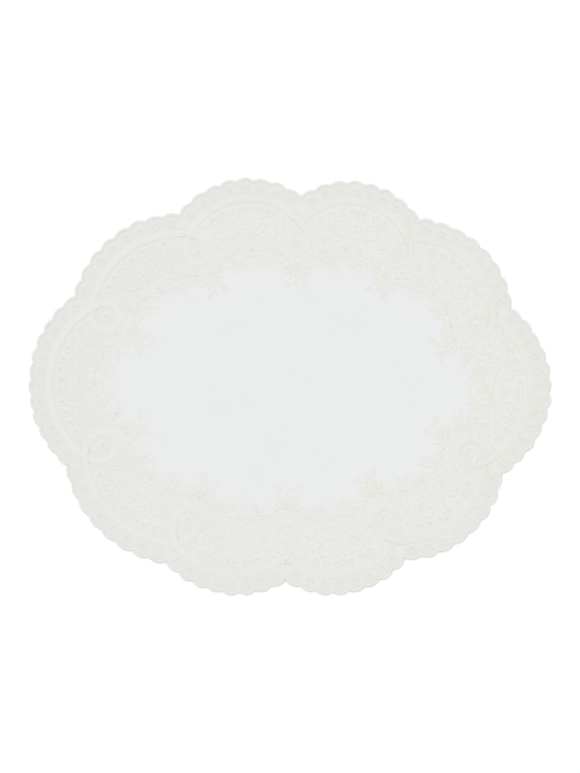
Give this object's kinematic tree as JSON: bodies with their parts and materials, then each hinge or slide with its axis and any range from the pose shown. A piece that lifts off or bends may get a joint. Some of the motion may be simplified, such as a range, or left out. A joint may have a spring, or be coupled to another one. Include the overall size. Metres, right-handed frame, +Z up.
{
  "type": "embroidered placemat",
  "caption": "Oval linen table mat with a lobed, finely scalloped edge, a raised ribbon border that loops at each notch, and an inner leaf garland, all worked white on white.",
  "frame": {"origin": "on the surface the mat lies on, under the middle of its box", "axes": "+X along the mat's length, +Y across it, +Z up out of its embroidered side"},
  "size_m": [0.4822, 0.3842, 0.0019],
  "materials": {
    "linen": "matt plain-weave linen, faintly cool white",
    "thread": "soft-sheen embroidery thread, ivory white"
  },
  "bodies": {
    "root": {"placemat": "linen"}
  },
  "joints": []
}
